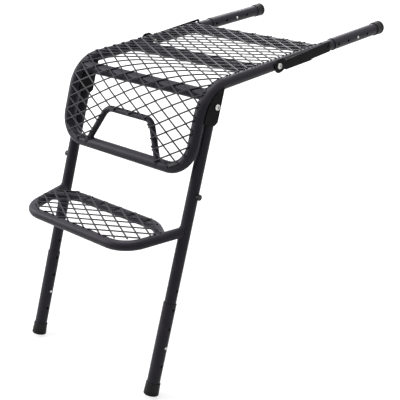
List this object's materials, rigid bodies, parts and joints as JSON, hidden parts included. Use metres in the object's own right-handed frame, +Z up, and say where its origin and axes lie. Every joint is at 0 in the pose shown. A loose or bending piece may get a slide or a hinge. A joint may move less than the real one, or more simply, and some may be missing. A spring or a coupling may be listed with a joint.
{
  "type": "tyre step",
  "caption": "Folding step that hooks over a car tyre: mesh platform on a tube frame, folding legs with a lower step, and telescoping arms with rubber caps.",
  "frame": {"origin": "on the underside of the arms, midway between them and midway along the stretch that lies on the tyre", "axes": "+X to the user's right, +Y over the tyre, +Z up"},
  "size_m": [0.4218, 0.9046, 0.6564],
  "materials": {
    "tube_coating": "satin black powder coat",
    "mesh_coating": "satin black powder coat",
    "sheet_coating": "satin black powder coat",
    "zinc": "bright zinc plate",
    "rubber": "matt",
    "plastic": "matt"
  },
  "bodies": {
    "frame": {"left_side_rail": "tube_coating", "right_side_rail": "tube_coating", "panel_bottom_bar": "tube_coating", "front_crossbar": "tube_coating", "mid_crossbar": "tube_coating", "rear_crossbar": "tube_coating", "handle_tube": "tube_coating", "platform_mesh": "mesh_coating", "nose_mesh": "mesh_coating", "panel_mesh": "mesh_coating", "left_leg_bracket": "sheet_coating", "right_leg_bracket": "sheet_coating", "left_leg_bolt": "zinc", "right_leg_bolt": "zinc", "left_arm_bolt": "zinc", "right_arm_bolt": "zinc"},
    "legs": {"left_leg_tube": "tube_coating", "right_leg_tube": "tube_coating", "step_frame_tube": "tube_coating", "step_rear_bar": "tube_coating", "step_mesh": "mesh_coating", "left_leg_knob": "plastic", "right_leg_knob": "plastic", "left_leg_button": "zinc", "right_leg_button": "zinc"},
    "left_leg_extension": {"left_leg_sleeve": "tube_coating", "left_foot": "rubber"},
    "left_arm": {"left_arm_plate": "sheet_coating", "left_arm_tube": "tube_coating", "left_arm_button": "zinc"},
    "left_arm_extension": {"left_arm_sleeve": "tube_coating", "left_arm_cap": "rubber"},
    "right_leg_extension": {"right_leg_sleeve": "tube_coating", "right_foot": "rubber"},
    "right_arm": {"right_arm_plate": "sheet_coating", "right_arm_tube": "tube_coating", "right_arm_button": "zinc"},
    "right_arm_extension": {"right_arm_sleeve": "tube_coating", "right_arm_cap": "rubber"}
  },
  "joints": [
    {"name": "leg_fold", "type": "hinge", "parent": "frame", "child": "legs", "pos_m": [0, -0.5388, -0.02473], "axis": [1, 0, 0], "range_deg": [0, 105]},
    {"name": "left_arm_fold", "type": "hinge", "parent": "frame", "child": "left_arm", "pos_m": [-0.19, -0.327, 0.0143], "axis": [1, 0, 0], "range_deg": [-120, 0]},
    {"name": "left_leg_slide", "type": "slide", "parent": "legs", "child": "left_leg_extension", "axis": [0, -0.3453, -0.9385], "range_m": [-0.0425, 0.085], "deforming": ["left_leg_button"]},
    {"name": "left_arm_slide", "type": "slide", "parent": "left_arm", "child": "left_arm_extension", "axis": [0, 1, 0], "range_m": [0, 0.085], "deforming": ["left_arm_button"]},
    {"name": "right_arm_fold", "type": "hinge", "parent": "frame", "child": "right_arm", "pos_m": [0.19, -0.327, 0.0143], "axis": [1, 0, 0], "range_deg": [-120, 0]},
    {"name": "right_leg_slide", "type": "slide", "parent": "legs", "child": "right_leg_extension", "axis": [0, -0.3453, -0.9385], "range_m": [-0.0425, 0.085], "deforming": ["right_leg_button"]},
    {"name": "right_arm_slide", "type": "slide", "parent": "right_arm", "child": "right_arm_extension", "axis": [0, 1, 0], "range_m": [0, 0.085], "deforming": ["right_arm_button"]}
  ]
}
